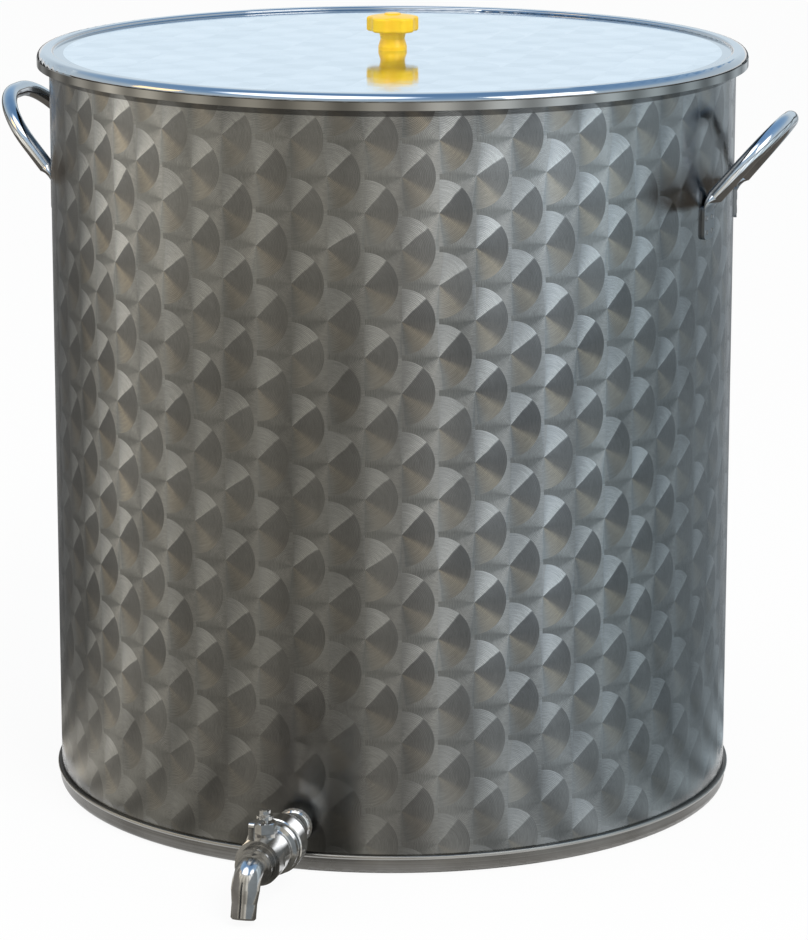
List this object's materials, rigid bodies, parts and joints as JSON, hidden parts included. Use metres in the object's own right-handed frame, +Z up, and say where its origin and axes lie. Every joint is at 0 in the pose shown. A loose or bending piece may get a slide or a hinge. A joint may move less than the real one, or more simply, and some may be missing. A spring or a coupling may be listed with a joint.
{
  "type": "stock pot with tap",
  "caption": "Large steel stock pot with a lift-off lid, two bar handles and a lever-operated ball tap low on its front, for cooking, storing and drawing off liquids.",
  "frame": {"origin": "on the pot's axis, on the surface that it stands on", "axes": "+Z up along the pot's axis, -Y towards the tap, +X to the right-hand handle seen from the tap's side"},
  "size_m": [0.5964, 0.6349, 0.5737],
  "materials": {
    "pot_steel": "bright sheet with overlapping swirl polish",
    "lid_steel": "mirror bright",
    "bar_steel": "polished",
    "tap_steel": "polished",
    "knob_plastic": "glossy moulding",
    "seat_plastic": "smooth white",
    "seal_rubber": "matt",
    "insert_brass": "turned"
  },
  "bodies": {
    "pot": {"body_shell": "pot_steel", "bottom_pan": "pot_steel", "base_ring": "pot_steel", "handle_right": "bar_steel", "handle_left": "bar_steel", "weld_socket": "tap_steel", "tap_nipple": "tap_steel", "union_gasket": "seat_plastic", "union_nut": "tap_steel", "valve_body": "tap_steel", "seat_rear": "seat_plastic", "seat_front": "seat_plastic", "valve_end": "tap_steel", "spout": "tap_steel", "spout_seal": "seal_rubber", "stem_packing": "seat_plastic", "gland_nut": "tap_steel"},
    "lid": {"lid_panel": "lid_steel", "lid_knob": "knob_plastic", "knob_cap": "knob_plastic", "knob_insert": "insert_brass", "knob_screw": "tap_steel", "knob_washer": "tap_steel"},
    "tap_key": {"tap_lever": "tap_steel", "lever_washer": "tap_steel", "lever_nut": "tap_steel", "stem": "tap_steel", "ball": "tap_steel"}
  },
  "joints": [
    {"name": "lid_lift", "type": "slide", "parent": "pot", "child": "lid", "axis": [0, 0, 1], "range_m": [0, 0.25]},
    {"name": "lever_turn", "type": "hinge", "parent": "pot", "child": "tap_key", "pos_m": [0, -0.318, 0.0327], "axis": [0, 0, -1], "range_deg": [0, 90]}
  ]
}
